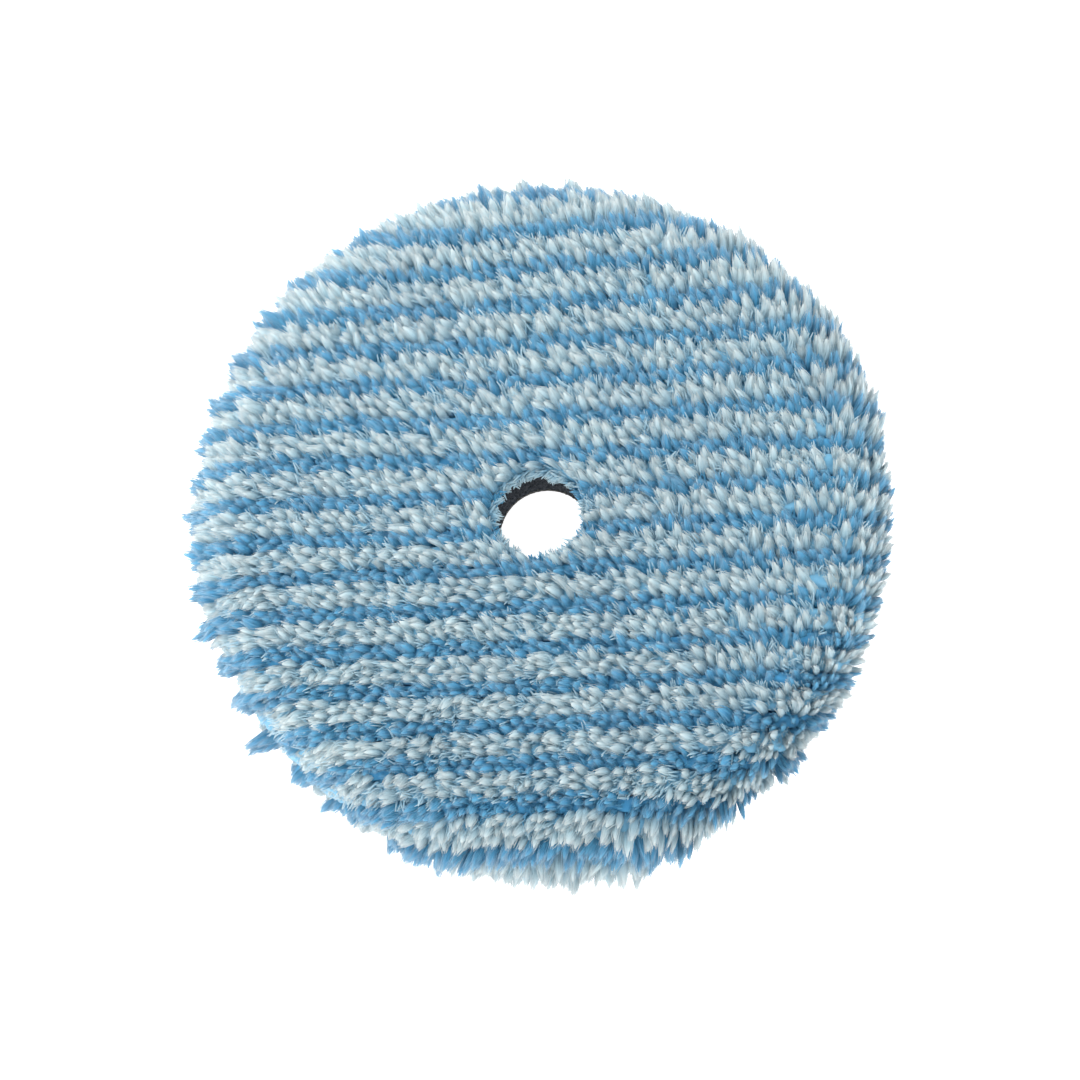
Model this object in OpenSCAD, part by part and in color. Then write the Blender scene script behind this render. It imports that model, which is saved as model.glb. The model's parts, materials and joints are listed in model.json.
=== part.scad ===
// Round polishing pad for a random-orbital polisher.
// A foam disc carries loop fabric on its back, which grips the hooks of a backing plate, and a
// striped pile cloth on its face. The cloth wraps the foam's shoulder and stops part way down
// the side. One hole runs through every layer.
// Origin: centre of the back face. +Z points out through the pile. The stripes run along X.

/* [Foam core] */
// Diameter of the foam where it meets the loop fabric
back_d = 130; // [120:1:134]
// Diameter of the foam at its shoulder
foam_d = 137; // [136:0.5:140]
// Thickness of the foam
foam_h = 14; // [14:0.5:20]
// Radius of the foam's shoulder
shoulder_r = 8; // [4:0.5:8]
// Height of the bare, tapered band of foam below the pile cloth
band_h = 5; // [2:0.5:5]

/* [Centre hole] */
// Diameter of the hole through the foam and the fabrics
hole_d = 20; // [10:1:24]
// How far the pile stands over the hole's edge
pile_lip = 1; // [0.5:0.1:2]

/* [Fabrics and films] */
// Thickness of the brushed loops on the back
nap_t = 1.2; // [0.8:0.1:2]
// Thickness of the knitted ground under those loops
loop_ground_t = 0.8; // [0.5:0.1:1.5]
// Thickness of each hot-melt adhesive film
film_t = 0.3; // [0.2:0.1:0.5]
// Thickness of the knitted ground of the pile cloth
cloth_t = 0.8; // [0.5:0.1:1.2]

/* [Pile] */
// Overall diameter, across the tips of the pile
pile_d = 150; // [148:1:160]
// Height of the white rows above their ground cloth
pile_h = 6.6; // [5:0.1:9]
// How far the blue rows lie below the white ones
blue_drop = 1; // [0.3:0.1:1.5]
// Radius of the pile's rounded edge
pile_edge_r = 12; // [9:0.5:12]
// Distance from one white row to the next
row_pitch = 8.2; // [7.6:0.1:10]
// Share of that distance that the white row takes
white_share = 0.6; // [0.4:0.05:0.7]
// Distance from the hole's axis to the middle line of the nearest white row
row_shift = 0.4; // [0:0.1:1.5]

/* [Hidden] */
$fn = 200;

back_r = back_d / 2;
foam_r = foam_d / 2;
hole_r = hole_d / 2;
pile_r = pile_d / 2;

// Heights of the layers' faces, from the back upwards
nap_top = nap_t;
loop_top = nap_top + loop_ground_t;
foam_bottom = loop_top + film_t;
band_top = foam_bottom + band_h;
foam_top = foam_bottom + foam_h;

// How far each wrapped layer's outer face stands off the foam
film_off = film_t;
cloth_off = film_off + cloth_t;

// Rows of pile: row k of each colour lies k pitches from the middle one of that colour
white_w = row_pitch * white_share;
blue_w = row_pitch - white_w;
smallest_cap = 1; // a row that would reach in past the rim by less than this is left out
most_rows = ceil(pile_r / row_pitch) + 1;

function white_y(k) = row_shift + k * row_pitch;
function blue_y(k) = row_shift + (k + 0.5) * row_pitch;
function inside_rim(y, w) = abs(y) - w / 2 < pile_r - smallest_cap;
function row_name(colour, i) = str(colour, "_row_", i < 9 ? "0" : "", i + 1);

white_rows = [for (k = [-most_rows : most_rows]) if (inside_rim(white_y(k), white_w)) k];
blue_rows = [for (k = [-most_rows : most_rows]) if (inside_rim(blue_y(k), blue_w)) k];

BACKING = ["loop_nap", "loop_ground", "loop_adhesive", "foam_core", "face_adhesive", "ground_cloth"];

past = 1; // how far a cutting shape runs past what it cuts

// Half section with a straight side and a rounded upper corner of radius arc
module rounded_section(r, bottom, top, arc) {
    translate([0, bottom]) square([r - arc, top - bottom]);
    translate([0, bottom]) square([r, top - arc - bottom]);
    translate([r - arc, top - arc])
        intersection() {
            circle(arc);
            square(arc);
        }
}

module rounded_disc(r, bottom, top, arc) {
    rotate_extrude() rounded_section(r, bottom, top, arc);
}

// The space that the foam and every layer wrapped over it take up, out to off from the foam
module wrapped_disc(off, bottom) {
    rounded_disc(foam_r + off, bottom, foam_top + off, shoulder_r + off);
}

module hole(r) {
    translate([0, 0, -past]) cylinder(h = foam_top + cloth_off + pile_h + 2 * past, r = r);
}

// A flat layer on the back, from one height to another
module back_layer(bottom, top) {
    difference() {
        translate([0, 0, bottom]) cylinder(h = top - bottom, r = back_r);
        hole(hole_r);
    }
}

// A layer wrapped over the face, the shoulder and the upper side of the foam
module face_layer(inner_off, outer_off) {
    difference() {
        wrapped_disc(outer_off, band_top);
        wrapped_disc(inner_off, band_top - past);
        hole(hole_r);
    }
}

// All the pile, as far as height h above the ground cloth
module pile_shell(h) {
    difference() {
        rounded_disc(pile_r, band_top, foam_top + cloth_off + h, pile_edge_r - pile_h + h);
        wrapped_disc(cloth_off, band_top - past);
        hole(hole_r - pile_lip);
    }
}

// One straight row of pile, w wide, along the line at distance y from the hole's axis
module pile_row(y, w, h) {
    intersection() {
        pile_shell(h);
        translate([-pile_d / 2 - past, y - w / 2, 0])
            cube([pile_d + 2 * past, w, foam_top + cloth_off + pile_h + past]);
    }
}

module loop_nap() {
    color([0.24, 0.25, 0.27]) back_layer(0, nap_top);
}

module loop_ground() {
    color([0.18, 0.19, 0.21]) back_layer(nap_top, loop_top);
}

module loop_adhesive() {
    color([0.72, 0.70, 0.62]) back_layer(loop_top, foam_bottom);
}

module foam_core() {
    color([0.22, 0.23, 0.25])
        difference() {
            union() {
                wrapped_disc(0, band_top);
                translate([0, 0, foam_bottom]) cylinder(h = band_h, r1 = back_r, r2 = foam_r);
            }
            hole(hole_r);
        }
}

module face_adhesive() {
    color([0.72, 0.70, 0.62]) face_layer(0, film_off);
}

module ground_cloth() {
    color([0.42, 0.58, 0.68]) face_layer(film_off, cloth_off);
}

module white_row(k) {
    color([0.80, 0.86, 0.88]) pile_row(white_y(k), white_w, pile_h);
}

module blue_row(k) {
    color([0.33, 0.56, 0.72]) pile_row(blue_y(k), blue_w, pile_h - blue_drop);
}

loop_nap();
loop_ground();
loop_adhesive();
foam_core();
face_adhesive();
ground_cloth();
for (i = [0 : len(white_rows) - 1])
    white_row(white_rows[i]);
for (i = [0 : len(blue_rows) - 1])
    blue_row(blue_rows[i]);
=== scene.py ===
import json
import math

import bpy
import numpy as np
from mathutils import Matrix, Vector
from mathutils.kdtree import KDTree


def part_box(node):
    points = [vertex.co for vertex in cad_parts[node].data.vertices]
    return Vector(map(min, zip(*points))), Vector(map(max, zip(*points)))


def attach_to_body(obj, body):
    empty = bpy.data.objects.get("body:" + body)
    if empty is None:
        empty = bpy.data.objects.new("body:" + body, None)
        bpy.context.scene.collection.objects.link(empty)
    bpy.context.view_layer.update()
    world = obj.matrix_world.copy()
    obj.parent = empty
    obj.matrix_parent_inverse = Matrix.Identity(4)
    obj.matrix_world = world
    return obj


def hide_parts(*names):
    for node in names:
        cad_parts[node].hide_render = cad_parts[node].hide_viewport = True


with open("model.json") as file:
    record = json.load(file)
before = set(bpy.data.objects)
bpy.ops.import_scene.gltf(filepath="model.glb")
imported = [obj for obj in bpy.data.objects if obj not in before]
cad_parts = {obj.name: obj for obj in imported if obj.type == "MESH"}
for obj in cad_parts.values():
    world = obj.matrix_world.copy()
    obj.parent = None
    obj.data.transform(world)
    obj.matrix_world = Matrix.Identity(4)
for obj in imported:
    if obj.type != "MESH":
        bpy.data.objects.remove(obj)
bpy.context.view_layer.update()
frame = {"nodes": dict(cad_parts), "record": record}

# ---------------------------------------------------------------------------------------------
# Sizes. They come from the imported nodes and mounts; the rest are the materials' own measures.
# ---------------------------------------------------------------------------------------------

MM = 0.001

BACK_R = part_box("loop_nap")[1].x
FOAM_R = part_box("foam_core")[1].x
CLOTH_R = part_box("ground_cloth")[1].x
FILM_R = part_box("face_adhesive")[1].x
MOUNTS = {mount["name"]: mount for mount in frame["record"]["mounts"]}
HOLE_R = MOUNTS["centre_hole"]["dims"]["r_mm"] * MM
NAP_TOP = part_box("loop_nap")[1].z
LOOP_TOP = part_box("loop_ground")[1].z
FOAM_BOTTOM, FOAM_TOP = (corner.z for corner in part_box("foam_core"))
BAND_TOP, CLOTH_TOP = (corner.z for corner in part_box("ground_cloth"))
SHOULDER_R = 8 * MM  # of the foam; each layer over it adds its own stand-off

WHITE_ROWS = sorted(name for name in frame["nodes"] if name.startswith("white_row"))
BLUE_ROWS = sorted(name for name in frame["nodes"] if name.startswith("blue_row"))

rng = np.random.default_rng(20)


# ---------------------------------------------------------------------------------------------
# Mesh helpers
# ---------------------------------------------------------------------------------------------

def new_piece(name, points, faces, material, node):
    """A mesh piece that rides on the one body and stands for a CAD node."""
    mesh = bpy.data.meshes.new(name)
    faces = np.asarray(faces)
    corners = faces.shape[1]
    mesh.vertices.add(len(points))
    mesh.vertices.foreach_set("co", np.asarray(points, np.float32).ravel())
    mesh.loops.add(faces.size)
    mesh.loops.foreach_set("vertex_index", faces.astype(np.int32).ravel())
    mesh.polygons.add(len(faces))
    mesh.polygons.foreach_set("loop_start", np.arange(0, faces.size, corners, dtype=np.int32))
    mesh.polygons.foreach_set("use_smooth", np.full(len(faces), True))
    mesh.update(calc_edges=True)
    mesh.materials.append(material)
    piece = bpy.data.objects.new(name, mesh)
    bpy.context.scene.collection.objects.link(piece)
    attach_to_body(piece, "root")
    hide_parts(node)
    return piece


def ring_faces(rings, around):
    """Quads between closed rings of points, the last of which is joined to the first."""
    ring = np.arange(rings)[:, None]
    step = np.arange(around)[None, :]
    after = (ring + 1) % rings
    beside = (step + 1) % around
    quads = [ring * around + step, ring * around + beside, after * around + beside, after * around + step]
    return np.stack(np.broadcast_arrays(*quads), -1).reshape(-1, 4)


def turned(profile, around, reshape):
    """Points and faces of a closed half section turned about Z, with the points moved by reshape."""
    profile = np.asarray(profile)
    angle = np.arange(around) / around * 2 * math.pi
    radius, height = profile[:, 0][:, None], profile[:, 1][:, None]
    height = np.broadcast_to(height, (len(profile), around))
    points = np.stack([radius * np.cos(angle), radius * np.sin(angle), height], -1).reshape(-1, 3)
    return reshape(points), ring_faces(len(profile), around)


def line(start, end, step):
    """Points from start towards end, about step apart, without the end point."""
    start, end = np.asarray(start, float), np.asarray(end, float)
    count = max(1, round(float(np.linalg.norm(end - start)) / step))
    return [start + (end - start) * i / count for i in range(count)]


def arc(centre, radius, start_deg, end_deg, count):
    """Points on an arc, without its end point."""
    turns = np.radians(np.linspace(start_deg, end_deg, count, endpoint=False))
    return [np.array([centre[0] + radius * math.cos(t), centre[1] + radius * math.sin(t)]) for t in turns]


# ---------------------------------------------------------------------------------------------
# Materials. Each is built from noise at the real size of what it shows.
# ---------------------------------------------------------------------------------------------

def srgb(red, green, blue):
    """A display colour of 0 to 255 as the linear colour that a shader takes."""
    part = [c / 255 for c in (red, green, blue)]
    return tuple(c / 12.92 if c <= 0.04045 else ((c + 0.055) / 1.055) ** 2.4 for c in part) + (1.0,)


class Shader:
    """A material with one Principled shader, and short ways to add the nodes that feed it."""

    def __init__(self, name, roughness, **settings):
        self.material = bpy.data.materials.new(name)
        self.material.use_nodes = True
        self.tree = self.material.node_tree
        self.principled = self.tree.nodes["Principled BSDF"]
        self.principled.inputs["Roughness"].default_value = roughness
        for socket, value in settings.items():
            self.principled.inputs[socket.replace("_", " ")].default_value = value

    def node(self, kind, **inputs):
        made = self.tree.nodes.new(kind)
        for socket, value in inputs.items():
            self.feed(made.inputs[socket.replace("_", " ")], value)
        return made

    def feed(self, socket, value):
        if isinstance(value, bpy.types.NodeSocket):
            self.tree.links.new(value, socket)
        else:
            socket.default_value = value

    def place(self):
        """Coordinates in millimetres, from the mesh's own points."""
        coords = self.node("ShaderNodeTexCoord").outputs["Object"]
        scale = self.node("ShaderNodeVectorMath", Vector=coords)
        scale.operation = "SCALE"
        scale.inputs["Scale"].default_value = 1 / MM
        return scale.outputs["Vector"]

    def attribute(self, name, output="Fac"):
        made = self.node("ShaderNodeAttribute")
        made.attribute_name = name
        return made.outputs[output]

    def noise(self, where, scale, detail, rough=0.5):
        made = self.node("ShaderNodeTexNoise", Vector=where, Scale=scale, Detail=detail, Roughness=rough)
        return made.outputs["Fac"]

    def cells(self, where, scale):
        """Distance from the nearest of a scatter of points."""
        return self.node("ShaderNodeTexVoronoi", Vector=where, Scale=scale).outputs["Distance"]

    def maths(self, operation, first, second):
        made = self.node("ShaderNodeMath")
        made.operation = operation
        self.feed(made.inputs[0], first)
        self.feed(made.inputs[1], second)
        return made.outputs[0]

    def ramp(self, factor, *stops):
        """Colours at places from 0 to 1, as (place, colour) pairs."""
        made = self.node("ShaderNodeValToRGB", Fac=factor)
        elements = made.color_ramp.elements
        while len(elements) < len(stops):
            elements.new(0.5)
        for element, (position, colour) in zip(elements, stops):
            element.position = position
            element.color = colour
        return made.outputs["Color"]

    def mix(self, factor, first, second, blend="MIX"):
        made = self.node("ShaderNodeMix")
        made.data_type = "RGBA"
        made.blend_type = blend
        self.feed(made.inputs["Factor"], factor)
        self.feed(made.inputs[6], first)
        self.feed(made.inputs[7], second)
        return made.outputs[2]

    def fuzzy_normal(self, name, share):
        """The surface's normal drawn towards a stored one, since a fuzz of fibres scatters light."""
        towards = self.node("ShaderNodeVectorMath")
        towards.operation = "MULTIPLY_ADD"
        self.feed(towards.inputs[0], self.attribute(name, "Vector"))
        self.feed(towards.inputs[1], (share, share, share))
        self.feed(towards.inputs[2], self.node("ShaderNodeNewGeometry").outputs["Normal"])
        unit = self.node("ShaderNodeVectorMath")
        unit.operation = "NORMALIZE"
        self.feed(unit.inputs[0], towards.outputs["Vector"])
        return unit.outputs["Vector"]

    def bump(self, height, distance, strength=1.0, normal=None):
        made = self.node("ShaderNodeBump", Height=height, Strength=strength, Distance=distance)
        if normal is not None:
            self.feed(made.inputs["Normal"], normal)
        self.feed(self.principled.inputs["Normal"], made.outputs["Normal"])

    def finish(self, colour):
        self.feed(self.principled.inputs["Base Color"], colour)
        return self.material


def pile_material(name, root, body, tip, streak):
    """Microfibre yarn: painted shade makes it darker and bluer towards its root, where the tufts shade it and
    light bounced off the blue rows tints it; streaked along the filaments, no two strands quite alike.
    """
    yarn = Shader(name, 0.85, Sheen_Weight=0.35, Sheen_Roughness=0.5, Specular_IOR_Level=0.15,
                  Subsurface_Weight=0.3, Subsurface_Radius=(1.0, 1.0, 1.0), Subsurface_Scale=2.0 * MM)
    along = yarn.attribute("along")
    # painted shade: the ramp runs from the shaded, bluer root through the body to the tip, whose colour is
    # nearest the yarn's own
    colour = yarn.ramp(along, (0.2, root), (0.58, body), (0.9, tip))
    filament = yarn.noise(yarn.attribute("fibre", "Vector"), 1.7, 3.0, 0.6)
    colour = yarn.mix(yarn.maths("MULTIPLY", filament, 0.35), colour, streak)
    tint = yarn.ramp(yarn.attribute("strand"), (0.0, (0.93, 0.95, 0.96, 1)), (1.0, (1.04, 1.03, 1.02, 1)))
    colour = yarn.mix(1.0, colour, tint, "MULTIPLY")
    # broad patches a little lighter or darker at random
    blotches = yarn.noise(yarn.place(), 0.07, 3.0)
    patch = yarn.ramp(blotches, (0.3, (0.90, 0.92, 0.94, 1)), (0.7, (1.06, 1.06, 1.05, 1)))
    colour = yarn.mix(1.0, colour, patch, "MULTIPLY")
    yarn.bump(filament, 0.08 * MM, 0.25, yarn.fuzzy_normal("upright", 1.2))
    return yarn.finish(colour)


def knit_material(name, dark, light, stitch):
    """Knitted ground: stitches stitch millimetres across, with painted shade between them, and a fine lint.
    """
    cloth = Shader(name, 0.9, Sheen_Weight=0.2, Specular_IOR_Level=0.2)
    where = cloth.place()
    stitches = cloth.cells(where, 1 / stitch)
    lint = cloth.noise(where, 4.0, 4.0, 0.7)
    # painted shade: the colour darkens from each stitch's middle towards the gaps between stitches
    colour = cloth.ramp(stitches, (0.0, light), (0.75, dark))
    colour = cloth.mix(cloth.maths("MULTIPLY", lint, 0.35), colour, dark)
    cloth.bump(cloth.maths("ADD", cloth.maths("MULTIPLY", stitches, -1.0), lint), 0.12 * MM)
    return cloth.finish(colour)


def foam_material(name, skin, pit):
    """Open-cell foam: painted shade darkens the cells between the struts; slightly uneven in tone."""
    foam = Shader(name, 0.95, Specular_IOR_Level=0.15)
    where = foam.place()
    cells = foam.cells(where, 1.9)
    tone = foam.noise(where, 0.25, 3.0)
    # painted shade: the pit colour at the cells' middles, the skin colour on the struts
    colour = foam.ramp(cells, (0.10, pit), (0.55, skin))
    colour = foam.mix(foam.maths("MULTIPLY", tone, 0.4), colour, pit)
    foam.bump(cells, 0.35 * MM)
    return foam.finish(colour)


def film_material(name, clear, cloudy):
    """Hot-melt film: satin, cloudy, with small bubbles."""
    film = Shader(name, 0.35, Specular_IOR_Level=0.5)
    where = film.place()
    clouds = film.noise(where, 0.6, 4.0)
    bubbles = film.cells(where, 1.2)
    colour = film.ramp(clouds, (0.35, clear), (0.65, cloudy))
    film.bump(bubbles, 0.05 * MM, 0.5)
    return film.finish(colour)


def loop_material(name, root, tip):
    """Nylon loops: smoother and shinier than the pile, with painted shade at the feet of each loop, so
    lighter at its crown.
    """
    loops = Shader(name, 0.45, Sheen_Weight=0.15, Specular_IOR_Level=0.4)
    grain = loops.noise(loops.place(), 2.5, 3.0)
    # painted shade: the root colour at a loop's feet, the tip colour at its crown
    colour = loops.ramp(loops.attribute("along"), (0.0, root), (1.0, tip))
    colour = loops.mix(loops.maths("MULTIPLY", grain, 0.4), colour, root)
    loops.bump(grain, 0.05 * MM, 0.5)
    return loops.finish(colour)


# Root and body colours hold painted shade, darker and bluer than the yarn's own; the tip colour is nearest
# the yarn's own.
WHITE_PILE = pile_material(
    "white_pile", srgb(106, 172, 209), srgb(168, 201, 214), srgb(197, 206, 205), srgb(162, 198, 215)
)
BLUE_PILE = pile_material(
    "blue_pile", srgb(74, 149, 195), srgb(79, 152, 194), srgb(92, 156, 192), srgb(72, 144, 186)
)
# Each knit's dark colour is the painted shade between its stitches, and also the tone of its lint.
CLOTH = knit_material("ground_cloth", srgb(54, 96, 126), srgb(100, 146, 172), 1.1)
# The foam's pit colour is the painted shade in its cells, and also its uneven tone.
FOAM = foam_material("foam", srgb(86, 92, 100), srgb(32, 35, 40))
FILM = film_material("hot_melt_film", srgb(98, 98, 96), srgb(128, 126, 120))
LOOP_KNIT = knit_material("loop_knit", srgb(26, 28, 32), srgb(58, 61, 67), 0.9)
# The loops' first colour is the painted shade at their feet, and also the tone of their grain.
LOOPS = loop_material("loop_nap", srgb(34, 36, 41), srgb(92, 96, 104))


# ---------------------------------------------------------------------------------------------
# The pile cloth unrolled: a flat disc whose rim is bent down over the foam's shoulder
# ---------------------------------------------------------------------------------------------

FLAT_R = FOAM_R - SHOULDER_R
BEND_R = SHOULDER_R + CLOTH_R - FOAM_R
BEND_LENGTH = BEND_R * math.pi / 2
UNROLLED_R = FLAT_R + BEND_LENGTH + CLOTH_TOP - BEND_R - BAND_TOP


def smooth(value, low, high):
    """0 below low, 1 above high, and a smooth step between them."""
    share = np.clip((value - low) / (high - low), 0, 1)
    return share * share * (3 - 2 * share)


def polar(flat):
    """Distances of places from the hole's axis, and their directions in degrees counter-clockwise from +X."""
    return np.hypot(flat[:, 0], flat[:, 1]), np.degrees(np.arctan2(flat[:, 1], flat[:, 0]))


def near(angle, middle, width):
    """1 where an angle in degrees is at the middle, falling to 0 over about twice the width."""
    gap = (angle - middle + 180) % 360 - 180
    return np.exp(-0.5 * (gap / width) ** 2)


def turned_by(heading, angle):
    """Headings turned counter-clockwise by angles in radians."""
    x, y = heading[:, 0], heading[:, 1]
    return np.c_[x * np.cos(angle) - y * np.sin(angle), x * np.sin(angle) + y * np.cos(angle)]


def on_cloth(flat):
    """The point, normal, outward tangent and sideways tangent at places on the unrolled cloth."""
    reach = np.maximum(np.hypot(flat[:, 0], flat[:, 1]), 1e-9)
    out = flat / reach[:, None]
    turn = np.clip((reach - FLAT_R) / BEND_R, 0, math.pi / 2)
    radius = np.minimum(reach, FLAT_R) + BEND_R * np.sin(turn)
    drop = BEND_R * (1 - np.cos(turn)) + np.maximum(reach - FLAT_R - BEND_LENGTH, 0)
    point = np.c_[out * radius[:, None], CLOTH_TOP - drop]
    normal = np.c_[out * np.sin(turn)[:, None], np.cos(turn)]
    outward = np.c_[out * np.cos(turn)[:, None], -np.sin(turn)]
    sideways = np.c_[-out[:, 1], out[:, 0], np.zeros(len(out))]
    return point, normal, outward, sideways


def ripple(flat, size, seed):
    """A smooth random field of about -1 to 1, whose bumps are about size across."""
    waves = np.random.default_rng(seed)
    total = np.zeros(len(flat))
    for _ in range(7):
        heading = waves.uniform(0, 2 * math.pi)
        turns = 2 * math.pi / (size * waves.uniform(0.7, 1.6))
        along = flat[:, 0] * math.cos(heading) + flat[:, 1] * math.sin(heading)
        total += np.sin(turns * along + waves.uniform(0, 7))
    return total / 3


# How the pile has been stroked: place on the unrolled cloth in millimetres, heading of the tips in degrees
# counter-clockwise from +X, and how far the tips lie over from upright, in degrees.
STROKES = (
    (-52, 58, 132, 62), (-18, 68, 126, 62), (18, 68, 120, 64), (48, 56, 115, 64),
    (-66, 32, 142, 58), (-30, 36, 134, 62), (6, 36, 130, 62), (40, 30, 121, 64), (68, 24, 108, 74),
    (-68, 4, 168, 54), (-38, 6, 160, 52), (-14, 14, 142, 58), (22, 6, 130, 58), (50, 2, 118, 64),
    (72, -6, 104, 76),
    (-68, -20, 196, 56), (-40, -20, 186, 48), (-8, -22, 178, 46), (22, -24, 160, 48), (48, -24, 126, 56),
    (-54, -44, 214, 58), (-26, -48, 204, 50), (4, -48, 188, 50), (32, -48, 168, 52), (60, -40, 116, 60),
    (-34, -66, 228, 50), (-4, -74, 250, 48), (24, -70, 244, 50), (50, -60, 205, 56), (72, -34, 104, 66),
)


def stroked(flat):
    """Unit headings in which the pile leans at places on the unrolled cloth, and how far its tips lie over.

    Round the hole the pile leans inwards a little, and on the shoulder it leans less if it leans uphill.
    """
    table = np.array(STROKES, float)
    gap = np.hypot(*(flat[:, None, :] / MM - table[None, :, :2]).transpose(2, 0, 1))
    spread = 11  # millimetres over which one stroke of the table gives way to the next
    weight = np.exp(-0.5 * (gap / spread) ** 2) + 1e-9
    weight /= weight.sum(1)[:, None]
    headings = np.radians(table[:, 2])
    x, y = weight @ np.cos(headings), weight @ np.sin(headings)
    agreement = np.hypot(x, y)
    calm = smooth(flat[:, 1], -20 * MM, 25 * MM)
    turn = (0.30 - 0.16 * calm) * ripple(flat, 15 * MM, seed=5)
    turn = turn + (0.22 - 0.12 * calm) * ripple(flat, 6 * MM, seed=6)
    heading = np.arctan2(y, x) + turn
    lie = np.radians(weight @ table[:, 3] + 5 * ripple(flat, 12 * MM, seed=7))
    lie = lie * np.maximum(agreement, 0.75)
    reach = np.hypot(flat[:, 0], flat[:, 1])
    most_inward = math.radians(30)
    by_hole = 1 - smooth(reach, HOLE_R + MM, HOLE_R + 5 * MM)
    inward = -flat / np.maximum(reach, 1e-9)[:, None] * by_hole[:, None]
    lean = lie[:, None] * np.c_[np.cos(heading), np.sin(heading)] + most_inward * inward
    heading = lean / np.maximum(np.hypot(lean[:, 0], lean[:, 1]), 1e-9)[:, None]
    lie = np.clip(np.hypot(lean[:, 0], lean[:, 1]), math.radians(32), math.radians(68))
    tilt = np.clip((reach - FLAT_R) / BEND_R, 0, math.pi / 2)
    uphill = np.maximum(-(heading * flat).sum(1) / np.maximum(reach, 1e-9), 0)
    steep = smooth(tilt, math.radians(40), math.radians(80))
    return heading, lie + uphill * (0.7 * tilt * (1 - steep) - 0.6 * lie * steep)


# ---------------------------------------------------------------------------------------------
# Pile. A lock of pile is modelled standing straight: places along it from 0 to 1, and offsets from
# its axis in lock radii. Each lock of a row is a bent, turned, flattened and scaled copy of a model.
# ---------------------------------------------------------------------------------------------

STRAND_SIDES = 3
CORE_SIDES = 6
MODELS = 12
FLATNESS = (0.62, 1.12)  # a lock's width in the plane it bends in, and beside that plane, in its radius


def tube_faces(first, rings, sides):
    """Triangles of a closed tube whose points start at first."""
    faces = []
    for ring in range(rings - 1):
        for side in range(sides):
            a = first + ring * sides + side
            b = first + ring * sides + (side + 1) % sides
            faces += [(a, b, b + sides), (a, b + sides, a + sides)]
    last = first + (rings - 1) * sides
    for side in range(1, sides - 1):
        faces += [(first + side + 1, first + side, first), (last, last + side, last + side + 1)]
    return faces


def lock_outline(along):
    """Radius of a lock at each place: gathered at the root, full above the middle, drawn in at the tip."""
    return 0.80 + 0.26 * np.sin(np.clip(along * 1.1, 0, 1) * math.pi * 0.9) - 0.42 * along**4


def tube(along, centre_u, centre_v, thick, sides):
    """Points of a tube that runs through the given centres."""
    side = np.arange(sides) / sides * 2 * math.pi
    shape = (len(along), sides)
    return np.stack([
        np.broadcast_to(along[:, None], shape),
        centre_u[:, None] + thick[:, None] * np.cos(side),
        centre_v[:, None] + thick[:, None] * np.sin(side),
    ], -1).reshape(-1, 3)


def tube_fibres(along, sides, number, stretch):
    """Coordinates for the fibre noise: round the tube, and drawn out along it."""
    side = np.arange(sides) / sides * 2 * math.pi
    shape = (len(along), sides)
    return np.stack([
        np.broadcast_to(stretch * np.cos(side) + 5.0 * number, shape),
        np.broadcast_to(stretch * np.sin(side), shape),
        np.broadcast_to(along[:, None] * 1.6, shape),
    ], -1).reshape(-1, 3)


class Locks:
    """Models of one kind of lock: strands twisted together, stray ones, and a soft core in a full one."""

    def __init__(self, strands, strays, rings, thick, core):
        self.strands, self.strays, self.rings, self.thick, self.core = strands, strays, rings, thick, core
        made = [self.model() for _ in range(MODELS)]
        self.points, self.tones, self.fibres = (np.stack(part) for part in zip(*made))
        self.faces = self.model_faces()

    def model(self):
        """Points of one lock, and their strand tones and fibre coordinates."""
        twist = rng.uniform(0.3, 1.5)
        points, tones, fibres = [], [], []
        if self.core:
            along = np.linspace(0, 0.9, self.rings + 1)
            thick = 0.82 * lock_outline(along) * (1 - 0.75 * (along / 0.9) ** 6)
            zero = np.zeros(len(along))
            points.append(tube(along, zero, zero, thick, CORE_SIDES))
            tones.append(np.full(len(along) * CORE_SIDES, 0.35))
            fibres.append(tube_fibres(along, CORE_SIDES, 0, 4.0))
        for index in range(self.strands + self.strays):
            stray = index >= self.strands
            end = rng.uniform(0.75, 1.14) if stray else rng.uniform(0.78, 1.0)
            along = np.linspace(0, end, self.rings)
            spread = rng.uniform(0.78, 1.0) + stray * rng.uniform(0.1, 0.8) * along**2
            angle = index * 2.4 + rng.uniform(-0.3, 0.3) + twist * along + rng.uniform(-0.6, 0.6) * along**2
            thick = rng.uniform(*self.thick) * (0.4 if stray else 1) * (1 - 0.8 * (along / end) ** 3)
            reach = spread * lock_outline(along)
            points.append(tube(along, reach * np.cos(angle), reach * np.sin(angle), thick, STRAND_SIDES))
            tones.append(np.full(self.rings * STRAND_SIDES, rng.uniform()))
            fibres.append(tube_fibres(along, STRAND_SIDES, index + 1, 1.0))
        return np.concatenate(points), np.concatenate(tones), np.concatenate(fibres)

    def model_faces(self):
        """Triangles of a model, the same for every one."""
        faces = tube_faces(0, self.rings + 1, CORE_SIDES) if self.core else []
        first = (self.rings + 1) * CORE_SIDES if self.core else 0
        size = self.rings * STRAND_SIDES
        for index in range(self.strands + self.strays):
            faces += tube_faces(first + index * size, self.rings, STRAND_SIDES)
        return np.array(faces)


TUFTS = Locks(strands=18, strays=4, rings=4, thick=(0.10, 0.14), core=True)
SHORT_LOCKS = Locks(strands=3, strays=0, rings=3, thick=(0.45, 0.7), core=False)


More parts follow.
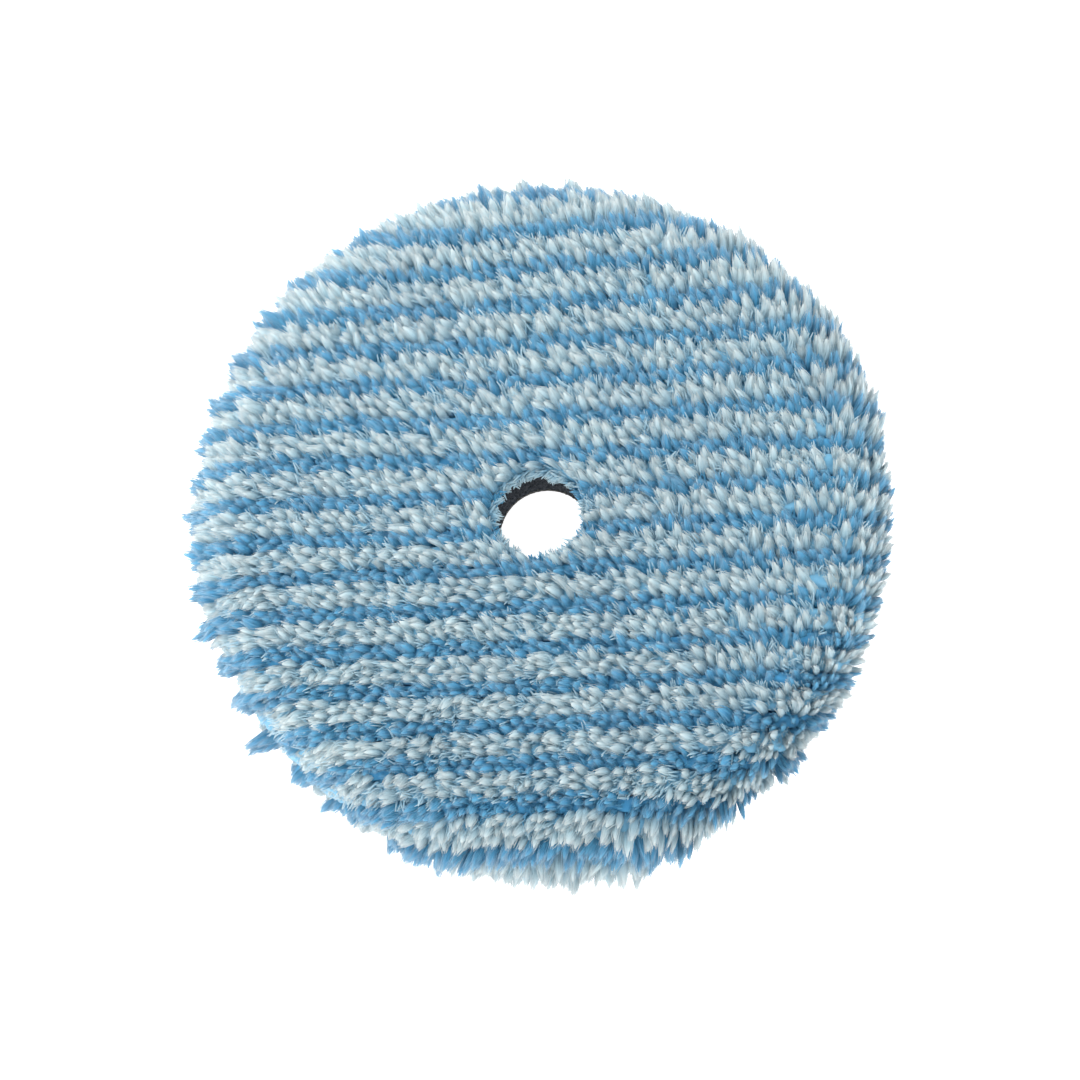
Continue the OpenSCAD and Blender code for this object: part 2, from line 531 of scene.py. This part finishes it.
def planted(locks, flat, heading, length, radius, start, bend):
    """Copies of locks rooted at places on the cloth, each leaving it at start and bent over by bend.

    Returns points and faces, and each point's place along its lock, strand tone, fibre coordinates and the
    cloth's normal under it.
    """
    count = len(flat)
    root, normal, outward, sideways = on_cloth(flat)
    out = flat / np.hypot(flat[:, 0], flat[:, 1])[:, None]
    lean = outward * (heading * out).sum(1)[:, None]
    lean += sideways * (heading[:, 1] * out[:, 0] - heading[:, 0] * out[:, 1])[:, None]
    beside = np.cross(normal, lean)
    pick = rng.integers(0, MODELS, count)
    model = locks.points[pick]
    along = model[..., 0]
    roll = rng.uniform(0, 2 * math.pi, count)[:, None]
    width_u, width_v = (share * radius[:, None] for share in FLATNESS)
    across_u = width_u * (model[..., 1] * np.cos(roll) - model[..., 2] * np.sin(roll))
    across_v = width_v * (model[..., 1] * np.sin(roll) + model[..., 2] * np.cos(roll))
    angle = start[:, None] + bend[:, None] * along
    scale = (length / bend)[:, None]
    rise = scale * (np.sin(angle) - np.sin(start)[:, None]) - across_u * np.sin(angle)
    run = scale * (np.cos(start)[:, None] - np.cos(angle)) + across_u * np.cos(angle)
    sway = (length * rng.normal(0, 0.08, count))[:, None] * along**2 + across_v
    points = root[:, None, :] + normal[:, None, :] * (rise - 0.3 * MM)[..., None]
    points = points + lean[:, None, :] * run[..., None] + beside[:, None, :] * sway[..., None]
    faces = (locks.faces[None] + (np.arange(count) * model.shape[1])[:, None, None]).reshape(-1, 3)
    tone = np.clip(locks.tones[pick] * 0.8 + 0.1 + rng.uniform(-0.3, 0.3, count)[:, None], 0, 1)
    fibre = locks.fibres[pick] + rng.uniform(0, 90, (count, 1, 3))
    upright = np.repeat(normal, model.shape[1], 0)
    return points.reshape(-1, 3), faces, along.ravel(), tone.ravel(), fibre.reshape(-1, 3), upright


def tuft_places(line_y, style):
    """Jittered places of a row's tufts on the unrolled cloth, and whether each is at one of the cut edges.

    The row has staggered lines of tufts, and more of them over the shoulder and along the rim.
    """
    places = []
    limit = UNROLLED_R + 6 * MM
    for sub_row in range(style["sub_rows"]):
        offset = (sub_row + 0.5) / style["sub_rows"] * 2 - 1
        along = np.arange(-limit, limit, style["spacing"] / 2)
        along = along + style["spacing"] * sub_row / style["sub_rows"]
        extra = np.arange(len(along)) % 2 == 1
        along = along + rng.normal(0, 0.17, len(along)) * style["spacing"]
        astray = (0.22 + 0.12 * smooth(along, -15 * MM, 25 * MM)) * MM
        across = line_y + offset * style["half_width"] + rng.normal(0, 1, len(along)) * astray
        bent = np.hypot(along, across) > FLAT_R + 2 * MM
        wanted = ~extra | (bent & (rng.uniform(size=len(along)) < 0.8))
        places.append(np.c_[along, across][wanted])
    inside = len(np.concatenate(places))
    places.append(on_ring(UNROLLED_R - 1.3 * MM, 2.6 * MM, line_y, style["row_half"]))
    places = np.concatenate(places)
    return places, np.arange(len(places)) >= inside


def on_ring(reach, gap, line_y, half_width):
    """Places about gap apart round a ring, where it crosses a row."""
    count = round(2 * math.pi * reach / gap)
    angle = (np.arange(count) + rng.uniform(-0.25, 0.25, count)) / count * 2 * math.pi
    ring = reach * np.c_[np.cos(angle), np.sin(angle)]
    return ring[np.abs(ring[:, 1] - line_y) < half_width]


# How the pile's length varies round the rim: direction in degrees counter-clockwise from +X, width in
# degrees, and the share of its length that it gains or loses there.
FRINGE = (
    (32, 16, 0.84), (130, 30, 0.28), (166, 12, -0.14), (217, 15, -0.46), (280, 14, 0.32), (325, 14, 0.12),
)


def fringed(flat, ragged):
    """How much longer or shorter the pile is at the rim, as a share of its length."""
    reach, angle = polar(flat)
    total = sum(share * near(angle, middle, width) for middle, width, share in FRINGE)
    rough = near(angle, 222, 24) + 0.6 * near(angle, -45, 18)
    total = total + rough * (ragged + 0.35 * ripple(flat, 9 * MM, seed=41))
    total = total + 0.06 * ripple(flat, 10 * MM, seed=42)
    return total * smooth(reach, 64 * MM, 73 * MM)


def creased(flat):
    """1 along the crease on the right, where the cloth is pinched over the shoulder, and 0 elsewhere."""
    reach, angle = polar(flat)
    reach = reach + 1.2 * MM * ripple(flat, 20 * MM, seed=31)
    spread = smooth(angle, -42, -30) * (1 - smooth(angle, 14, 26))
    return spread * np.exp(-0.5 * ((reach - FLAT_R - 0.5 * MM) / (1.1 * MM)) ** 2)


def clear_of_hole(flat, heading, length, start, bend, overhang):
    """Bends of the locks, lessened where they would reach over the hole by more than their overhang."""
    reach = length * (np.cos(start) - np.cos(start + bend)) / bend
    towards = (flat * heading).sum(1)
    inside = towards**2 - (flat**2).sum(1) + (HOLE_R - overhang) ** 2
    room = -towards - np.sqrt(np.maximum(inside, 0))
    crosses = (inside > 0) & (towards < 0) & (room < reach)
    return np.where(crosses, np.maximum(bend * room / reach, math.radians(4)), bend)


def tuft_lengths(places, style):
    """Lengths of a row's tufts, which change towards the ends of the row, in the crease and at the rim."""
    length = style["length"] * (1 + 0.10 * rng.normal(size=len(places)))
    rim = smooth(polar(places)[0], 64 * MM, 74 * MM)
    left, right = (smooth(far, 20 * MM, 65 * MM) * rim for far in (-places[:, 0], places[:, 0]))
    length = length * (1 + style["left_end"] * left) * (1 - 0.3 * right)
    return length * (1 - 0.28 * creased(places)) * np.maximum(1 + fringed(places, style["ragged"]), 0.4)


def tall_pile(line_y, style):
    """The tufts of one row, each rooted behind where its middle shows, and held back from the hole."""
    places, at_edge = tuft_places(line_y, style)
    places[:, 1] += 0.35 * MM * ripple(places, 34 * MM, seed=9)
    heading, end = stroked(places)
    count = len(places)
    heading = turned_by(heading, rng.normal(0, 0.13, count))
    length = tuft_lengths(places, style)
    start = np.radians(6 + 5 * rng.normal(size=count))
    end = end * style["lie"] + np.radians(6 * rng.normal(size=count))
    bend = end - start
    combed = style["root_back"] - 0.25 * smooth(places[:, 0], -15 * MM, 25 * MM)
    root_back = np.where(at_edge, 0, combed * length * (np.cos(start) - np.cos(end)) / bend)
    flat = places - heading * root_back[:, None]
    reach, angle = polar(flat)
    kept = (polar(places)[0] > HOLE_R - 0.8 * MM) & (reach < UNROLLED_R - 0.2 * MM)
    nearest = HOLE_R + (0.6 + 2.4 * near(angle, 0, 45)) * MM
    flat *= np.maximum(nearest / np.maximum(reach, 1e-9), 1)[:, None]
    flat, angle, heading, length, start, bend = (
        values[kept] for values in (flat, angle, heading, length, start, bend)
    )
    overhang = 0.3 + 2.1 * near(angle, 225, 50) - 2.3 * near(angle, 0, 40)
    overhang = (overhang + 0.4 * rng.normal(size=len(flat))) * MM
    bend = clear_of_hole(flat, heading, length, start, bend, overhang)
    radius = style["radius"] * (1 + 0.14 * rng.normal(size=len(flat)))
    return planted(TUFTS, flat, heading, length, radius, start, bend)


def short_places(line_y, half_width):
    """Places of a row's short locks: one to a square millimetre, and closer together round the hole."""
    count = round(4 * half_width * UNROLLED_R / MM**2)
    along = rng.uniform(-UNROLLED_R, UNROLLED_R, count)
    flat = np.c_[along, line_y + rng.uniform(-half_width, half_width, count)]
    flat = np.concatenate([flat, on_ring(HOLE_R + 0.35 * MM, 0.4 * MM, line_y, half_width)])
    reach, _ = polar(flat)
    return flat[(reach > HOLE_R + 0.3 * MM) & (reach < UNROLLED_R - 0.5 * MM)]


def short_pile(line_y, style):
    """The short locks that fill in between the tufts of a row, and hang over the edge of the hole."""
    flat = short_places(line_y, style["row_half"])
    count = len(flat)
    reach, angle = polar(flat)
    heading, end = stroked(flat)
    heading = turned_by(heading, rng.normal(0, 0.5, count))
    at_hole = reach < HOLE_R + 0.9 * MM
    inward = heading * 0.6 - flat / reach[:, None]
    inward = turned_by(inward / np.hypot(inward[:, 0], inward[:, 1])[:, None], rng.normal(0, 0.55, count))
    heading = np.where(at_hole[:, None], inward, heading)
    end = np.where(at_hole, np.radians(rng.uniform(55, 105, count)), 0.8 * end)
    start = np.where(at_hole, 40 * (1 - near(angle, 0, 45)), 12 + 8 * rng.normal(size=count))
    start = np.radians(start)
    near_rim = smooth(reach, UNROLLED_R - 12 * MM, UNROLLED_R - 4 * MM)
    length = style["short"] * rng.uniform(0.7, 1.2, count) * (1 - 0.3 * creased(flat)) * (1 - 0.3 * at_hole)
    length *= 1 - 0.35 * near_rim
    overhang = 0.4 + 3.4 * near(angle, 125, 55) + 1.3 * near(angle, 235, 45) - 0.9 * near(angle, 0, 40)
    overhang = (overhang + 0.8 * rng.normal(size=count)) * MM
    bend = clear_of_hole(flat, heading, length, start, end - start, overhang)
    radius = np.full(count, 0.6 * MM)
    points, faces, along, *rest = planted(SHORT_LOCKS, flat, heading, length, radius, start, bend)
    # Painted shade: they keep to the darker, root end of the yarn's colours, since they lie in the shade of
    # the tufts.
    shown = np.repeat(np.where(at_hole, 0.75, 0.62), len(along) // count)
    return points, faces, shown * along, *rest


def undercoat(line_y, style):
    """The densest, lowest pile of a row: two bumpy strips, left and right of the middle."""
    across = np.linspace(-1, 1, 17)
    level = (1 - across**6) * (across > -1) * (across < 1)
    line = np.clip(line_y + across * style["row_half"], -UNROLLED_R + 2.1 * MM, UNROLLED_R - 2.1 * MM)
    inner = np.sqrt(np.maximum((HOLE_R + MM) ** 2 - line**2, 0))
    outer = np.sqrt(np.maximum((UNROLLED_R - 2 * MM) ** 2 - line**2, 0))
    points, faces, normals, stations = [], [], [], 48
    for side in (-1, 1):
        share = np.linspace(0, 1, stations)[:, None]
        x = side * (inner + (outer - inner) * share)
        flat = np.stack([x, np.broadcast_to(line, x.shape)], -1).reshape(-1, 2)
        root, normal, _, _ = on_cloth(flat)
        lift = style["coat"] * np.broadcast_to(level, x.shape).ravel()
        lift = lift * (1 + 0.25 * ripple(flat, 3.5 * MM, seed=21))
        lift = np.where(lift > 0, lift, 0.1 * MM)
        first = sum(len(p) for p in points)
        points.append(root + normal * lift[:, None])
        normals.append(normal)
        strip = tube_faces(first, stations, len(across))
        faces += [face[::-1] for face in strip] if side > 0 else strip
    points = np.concatenate(points)
    count = len(points)
    # along of 0 gives the undercoat the yarn's root colour, the painted shade of the lowest pile
    along, tone, fibre = np.zeros(count), np.full(count, 0.3), points / (0.9 * MM)
    return points, np.array(faces), along, tone, fibre, np.concatenate(normals)


def joined(*parts):
    """Points, faces and point values of several parts as those of one."""
    firsts = np.cumsum([0] + [len(part[0]) for part in parts[:-1]])
    faces = np.concatenate([part[1] + first for part, first in zip(parts, firsts)])
    points, _, *values = zip(*parts)
    return np.concatenate(points), faces, *(np.concatenate(value) for value in values)


def attach(piece, name, kind, values):
    """Stores one value, or one vector, for each of the piece's points."""
    store = piece.data.attributes.new(name, kind, "POINT")
    field = "vector" if kind == "FLOAT_VECTOR" else "value"
    store.data.foreach_set(field, np.asarray(values, np.float32).ravel())


def pile_row(name, node, material, line_y, style):
    """One row of pile, in one piece."""
    points, faces, along, tone, fibre, upright = joined(
        tall_pile(line_y, style), short_pile(line_y, style), undercoat(line_y, style)
    )
    piece = new_piece(name, points, faces, material, node)
    attach(piece, "along", "FLOAT", along)
    attach(piece, "strand", "FLOAT", tone)
    attach(piece, "fibre", "FLOAT_VECTOR", fibre)
    attach(piece, "upright", "FLOAT_VECTOR", upright)
    return piece


def middle_lines(nodes):
    """The middle line of each row, from the pitch of the rows that the rim doesn't narrow."""
    cut_off = 2
    middles = [(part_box(node)[0].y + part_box(node)[1].y) / 2 for node in nodes]
    inner = middles[cut_off:-cut_off]
    pitch = (inner[-1] - inner[0]) / (len(inner) - 1)
    return {node: inner[0] + (place - cut_off) * pitch for place, node in enumerate(nodes)}


# How each colour's rows are made. row_half is half a row's width, and half_width that of the part where its
# tufts show their middles, in sub_rows lines. spacing, radius and length are a tuft's; root_back is how far
# behind its middle it is rooted, as a share of its reach, and lie how far over it lies, as a share of the
# stroke. left_end and ragged are the share of its length that it gains at a row's left end and at the ragged
# edge. short and coat are the lengths of the short locks and of the undercoat.
WHITE_STYLE = {"row_half": 2.46 * MM, "half_width": 2.3 * MM, "sub_rows": 3, "spacing": 3.4 * MM,
               "radius": 1.0 * MM, "length": 7.4 * MM, "root_back": 0.75, "lie": 1.0, "left_end": -0.05,
               "ragged": -0.28, "short": 5.6 * MM, "coat": 2.4 * MM}
BLUE_STYLE = {"row_half": 1.64 * MM, "half_width": 1.5 * MM, "sub_rows": 2, "spacing": 2.7 * MM,
              "radius": 0.98 * MM, "length": 6.8 * MM, "root_back": 0.75, "lie": 0.9, "left_end": 0.2,
              "ragged": 0.22, "short": 4.4 * MM, "coat": 2.1 * MM}

for row_nodes, row_material, row_slot, row_style in (
    (WHITE_ROWS, WHITE_PILE, "white_pile", WHITE_STYLE), (BLUE_ROWS, BLUE_PILE, "blue_pile", BLUE_STYLE)
):
    for row_node, row_y in middle_lines(row_nodes).items():
        pile_row(row_node + "_tufts", row_node, row_material, row_y, row_style)


# ---------------------------------------------------------------------------------------------
# Foam, cloth, films and loop fabric
# ---------------------------------------------------------------------------------------------

def layer_profile(inner_off, outer_off, step):
    """Closed half section of a layer wrapped over the foam, between two stand-offs from it."""
    inner_bend, outer_bend = SHOULDER_R + inner_off, SHOULDER_R + outer_off
    middle = (FLAT_R, FOAM_TOP - SHOULDER_R)
    outer_side = (FOAM_R + outer_off, middle[1])
    points = line((HOLE_R, FOAM_TOP + outer_off), (FLAT_R, FOAM_TOP + outer_off), step)
    points += arc(middle, outer_bend, 90, 0, max(6, round(BEND_LENGTH / step)))
    points += line(outer_side, (FOAM_R + outer_off, BAND_TOP), step)
    points += line((FOAM_R + outer_off, BAND_TOP), (FOAM_R + inner_off, BAND_TOP), step)
    points += line((FOAM_R + inner_off, BAND_TOP), (FOAM_R + inner_off, middle[1]), step)
    points += arc(middle, inner_bend, 0, 90, 8)
    points += line((FLAT_R, FOAM_TOP + inner_off), (HOLE_R, FOAM_TOP + inner_off), 8 * step)
    points += line((HOLE_R, FOAM_TOP + inner_off), (HOLE_R, FOAM_TOP + outer_off), step)
    return points


def foam_piece():
    """The foam core. Its tapered band and the wall of the hole show open cells; the rest is covered."""
    fine, coarse = 0.42 * MM, 6 * MM
    profile = line((HOLE_R, FOAM_TOP), (FLAT_R, FOAM_TOP), coarse)
    profile += arc((FLAT_R, FOAM_TOP - SHOULDER_R), SHOULDER_R, 90, 0, 8)
    profile += line((FOAM_R, FOAM_TOP - SHOULDER_R), (FOAM_R, BAND_TOP), fine)
    profile += line((FOAM_R, BAND_TOP), (BACK_R, FOAM_BOTTOM), fine)
    profile += line((BACK_R, FOAM_BOTTOM), (HOLE_R, FOAM_BOTTOM), coarse)
    profile += line((HOLE_R, FOAM_BOTTOM), (HOLE_R, FOAM_TOP), fine)
    points, faces = turned(profile, around=960, reshape=open_cells)
    piece = new_piece("foam_body", points, faces, FOAM, "foam_core")
    return piece


def open_cells(points):
    """Sinks pits the size of foam cells into the bare walls of the foam."""
    radius = np.hypot(points[:, 0], points[:, 1])
    on_band = (points[:, 2] < BAND_TOP + 0.3 * MM) & (radius > BACK_R - 0.5 * MM)
    walls = np.flatnonzero(on_band | (radius < HOLE_R + 0.01 * MM))
    seeds = cell_centres()
    tree = KDTree(len(seeds))
    for index, seed in enumerate(seeds):
        tree.insert(seed, index)
    tree.balance()
    pit = 0.42 * MM
    moved = points.copy()
    for index in walls:
        _, _, gap = tree.find(points[index])
        depth = pit * max(0.0, 1 - (gap / pit) ** 2)
        away = -1 if radius[index] > 2 * HOLE_R else 1
        moved[index, :2] *= 1 + away * depth / radius[index]
    return moved


def cell_centres():
    """Centres of the cells that break the foam's two bare walls."""
    spacing = 0.75 * MM
    hole = (HOLE_R, FOAM_BOTTOM, FOAM_TOP)
    band = ((BACK_R + FOAM_R) / 2, FOAM_BOTTOM, BAND_TOP)
    seeds = []
    for wall_r, low, high in (hole, band):
        count = round(2 * math.pi * wall_r * (high - low) / spacing**2)
        angle = rng.uniform(0, 2 * math.pi, count)
        height = rng.uniform(low, high, count)
        depth = rng.normal(0, 0.15 * MM, count)
        taper = 0 if wall_r == HOLE_R else (height - (low + high) / 2) / (high - low) * (FOAM_R - BACK_R)
        radius = wall_r + taper + depth
        seeds.append(np.c_[radius * np.cos(angle), radius * np.sin(angle), height])
    return np.concatenate(seeds)


def ground_cloth_piece():
    """The knitted ground of the pile cloth, with a stitch relief and a slightly uneven cut edge."""
    profile = layer_profile(FILM_R - FOAM_R, CLOTH_R - FOAM_R, step=0.8 * MM)
    points, faces = turned(profile, around=420, reshape=stitched)
    piece = new_piece("pile_cloth_ground", points, faces, CLOTH, "ground_cloth")
    return piece


def stitched(points):
    """A relief of knitted stitches, and a cut edge that wanders a little."""
    radius = np.hypot(points[:, 0], points[:, 1])
    relief = 0.06 * MM * np.sin(points[:, 0] / (0.55 * MM)) * np.sin(points[:, 1] / (0.4 * MM))
    moved = points.copy()
    face = (points[:, 2] > CLOTH_TOP - 0.1 * MM) & (radius > HOLE_R + 0.5 * MM)
    moved[face, 2] += relief[face]
    edge = points[:, 2] < BAND_TOP + 0.1 * MM
    angle = np.arctan2(points[:, 1], points[:, 0])
    moved[edge, 2] += (0.15 * MM * np.sin(angle[edge] * 57) + 0.1 * MM * np.sin(angle[edge] * 23 + 1))
    return moved


def film_piece(name, node, profile):
    """A hot-melt film, squeezed out a little and unevenly along its edges."""
    def squeezed(points):
        radius = np.hypot(points[:, 0], points[:, 1])
        angle = np.arctan2(points[:, 1], points[:, 0])
        bead = 0.12 * MM * (1 + 0.5 * np.sin(angle * 41) + 0.5 * np.sin(angle * 67 + 2))
        moved = points.copy()
        rim = radius > radius.max() - 0.05 * MM
        if node == "loop_adhesive":
            moved[rim, :2] *= (1 + bead[rim] / radius[rim])[:, None]
        lip = radius < HOLE_R + 0.05 * MM
        moved[lip, :2] *= (1 - bead[lip] / radius[lip])[:, None]
        return moved
    points, faces = turned(profile, around=300, reshape=squeezed)
    return new_piece(name, points, faces, FILM, node)


def back_profile(bottom, top, step, height_step):
    """Closed half section of a flat layer on the back."""
    points = line((HOLE_R, top), (BACK_R, top), 8 * step)
    points += line((BACK_R, top), (BACK_R, bottom), height_step)
    points += line((BACK_R, bottom), (HOLE_R, bottom), step)
    points += line((HOLE_R, bottom), (HOLE_R, top), height_step)
    return points


def loop_ground_piece(nap):
    """The knitted ground of the loop fabric."""
    def ribbed(points):
        moved = points.copy()
        under = points[:, 2] < NAP_TOP + 0.01 * MM
        moved[under, 2] += 0.12 * MM * (0.5 + 0.5 * np.sin(points[under, 0] / (0.2 * MM)))
        return moved
    profile = back_profile(NAP_TOP, LOOP_TOP, step=0.8 * MM, height_step=0.2 * MM)
    points, faces = turned(profile, around=420, reshape=ribbed)
    piece = new_piece("loop_fabric_ground", points, faces, LOOP_KNIT, "loop_ground")
    return piece


def loop_places():
    """Places of the loops on the back, in staggered lines."""
    gap = 1.75 * MM
    lines = np.arange(-BACK_R, BACK_R, gap)
    grid_x, grid_y = np.meshgrid(lines, lines)
    grid_x = grid_x + (np.arange(len(grid_y)) % 2)[:, None] * gap / 2
    places = np.c_[grid_x.ravel(), grid_y.ravel()]
    places += rng.normal(0, 0.2 * MM, places.shape)
    reach, _ = polar(places)
    return places[(reach > HOLE_R + 1.5 * MM) & (reach < BACK_R - 1.8 * MM)]


def loop_nap_piece():
    """The brushed loops that the backing plate's hooks grip: arches of filament below their ground."""
    places = loop_places()
    count, rings, sides, thick = len(places), 9, 3, 0.1 * MM
    swing = np.linspace(0, math.pi, rings)
    heading = rng.normal(math.pi / 2, 0.7, count)
    width = rng.uniform(0.75, 1.25, count) * MM
    height = np.clip(rng.normal(1.12, 0.12, count), 0.8, 1.2) * MM
    tilt = rng.normal(0, 0.35, count)[:, None] * height[:, None]
    lift = height[:, None] * np.sin(swing)
    span = -width[:, None] * np.cos(swing) * (1 + 0.35 * np.sin(swing))
    lean = tilt * np.sin(swing)
    along = np.c_[np.cos(heading), np.sin(heading)]
    across = np.c_[-along[:, 1], along[:, 0]]
    centre = places[:, None, :] + along[:, None, :] * span[..., None] + across[:, None, :] * lean[..., None]
    side = np.arange(sides) / sides * 2 * math.pi
    radial_u = thick * np.cos(side)
    radial_v = thick * np.sin(side)
    drop = np.maximum(NAP_TOP + 0.1 * MM - lift, 0.5 * thick)[..., None] - radial_u * np.sin(swing)[:, None]
    shift = along[:, None, None, :] * (radial_u * -np.cos(swing)[:, None])[None, ..., None]
    flat = centre[:, :, None, :] + shift + across[:, None, None, :] * radial_v[None, None, :, None]
    points = np.concatenate([flat, np.maximum(drop, 0.0)[..., None]], -1).reshape(-1, 3)
    faces = []
    for ring in range(rings - 1):
        for step in range(sides):
            a, b = ring * sides + step, ring * sides + (step + 1) % sides
            faces.append((a, b, b + sides, a + sides))
    size = rings * sides
    all_faces = (np.array(faces)[None] + (np.arange(count) * size)[:, None, None]).reshape(-1, 4)
    piece = new_piece("loops", points, all_faces, LOOPS, "loop_nap")
    # the height along each arch sets the painted shade of the loop
    crown = np.broadcast_to(np.sin(swing)[None, :, None], (count, rings, sides))
    attach(piece, "along", "FLOAT", crown)
    return piece


foam_piece()
ground_cloth_piece()
film_piece("face_film", "face_adhesive", layer_profile(0, FILM_R - FOAM_R, step=1.5 * MM))
film_piece(
    "back_film", "loop_adhesive", back_profile(LOOP_TOP, FOAM_BOTTOM, step=3 * MM, height_step=0.15 * MM)
)
loop_ground_piece(loop_nap_piece())


# ---------------------------------------------------------------------------------------------
# Floor, lights and camera
# ---------------------------------------------------------------------------------------------

def floor_piece():
    """A pale floor with a faint light of its own, as a light table has, so that it stays near white."""
    pale = Shader("floor", 0.9, Specular_IOR_Level=0.1, Emission_Strength=0.95)
    pale.principled.inputs["Emission Color"].default_value = (1, 1, 1, 1)
    mesh = bpy.data.meshes.new("floor")
    half, height = 2.0, -0.02 * MM
    corners = [(-half, -half, height), (half, -half, height), (half, half, height), (-half, half, height)]
    mesh.from_pydata(corners, [], [(0, 1, 2, 3)])
    mesh.materials.append(pale.finish((0.82, 0.82, 0.82, 1)))
    floor = bpy.data.objects.new("floor", mesh)
    bpy.context.scene.collection.objects.link(floor)


def soft_light(name, place, aim, size, watts, colour):
    """A round area light at a place, facing what it aims at."""
    data = bpy.data.lights.new(name, "AREA")
    data.shape = "DISK"
    data.size = size
    data.energy = watts
    data.color = colour
    lamp = bpy.data.objects.new(name, data)
    lamp.location = place
    lamp.rotation_euler = (Vector(aim) - Vector(place)).to_track_quat("-Z", "Y").to_euler()
    bpy.context.scene.collection.objects.link(lamp)


def add_lights():
    """Light from all round, as in a light tent, and a faint warm key light from the upper left."""
    world = bpy.data.worlds.new("studio")
    world.use_nodes = True
    background = world.node_tree.nodes["Background"]
    background.inputs["Color"].default_value = (1, 1, 1, 1)
    background.inputs["Strength"].default_value = 1.52
    bpy.context.scene.world = world
    soft_light(
        "key", place=(-0.22, 0.08, 0.22), aim=(0, 0, 0), size=0.36, watts=0.45, colour=(1.0, 0.99, 0.97)
    )


def add_camera():
    """The view nearly straight down on the face, from a little to the right of and below the pad."""
    azimuth, elevation = math.radians(25.5), math.radians(74.5)
    upright_turn = math.radians(0.8)  # of the picture's upright, clockwise from +Y
    distance = 0.807
    aim = Vector((-0.0002, -0.0034, 0.012))
    level = math.cos(elevation)
    back = Vector((math.sin(azimuth) * level, -math.cos(azimuth) * level, math.sin(elevation)))
    upright = Vector((math.sin(upright_turn), math.cos(upright_turn), 0))
    right = upright.cross(back).normalized()
    up = back.cross(right)
    data = bpy.data.cameras.new("camera")
    data.lens = 127.9
    data.clip_start = 0.05
    camera = bpy.data.objects.new("camera", data)
    camera.matrix_world = Matrix((
        (right.x, up.x, back.x, aim.x + distance * back.x),
        (right.y, up.y, back.y, aim.y + distance * back.y),
        (right.z, up.z, back.z, aim.z + distance * back.z),
        (0, 0, 0, 1),
    ))
    bpy.context.scene.collection.objects.link(camera)
    bpy.context.scene.camera = camera


floor_piece()
add_lights()
add_camera()
bpy.context.scene.view_settings.view_transform = "Standard"
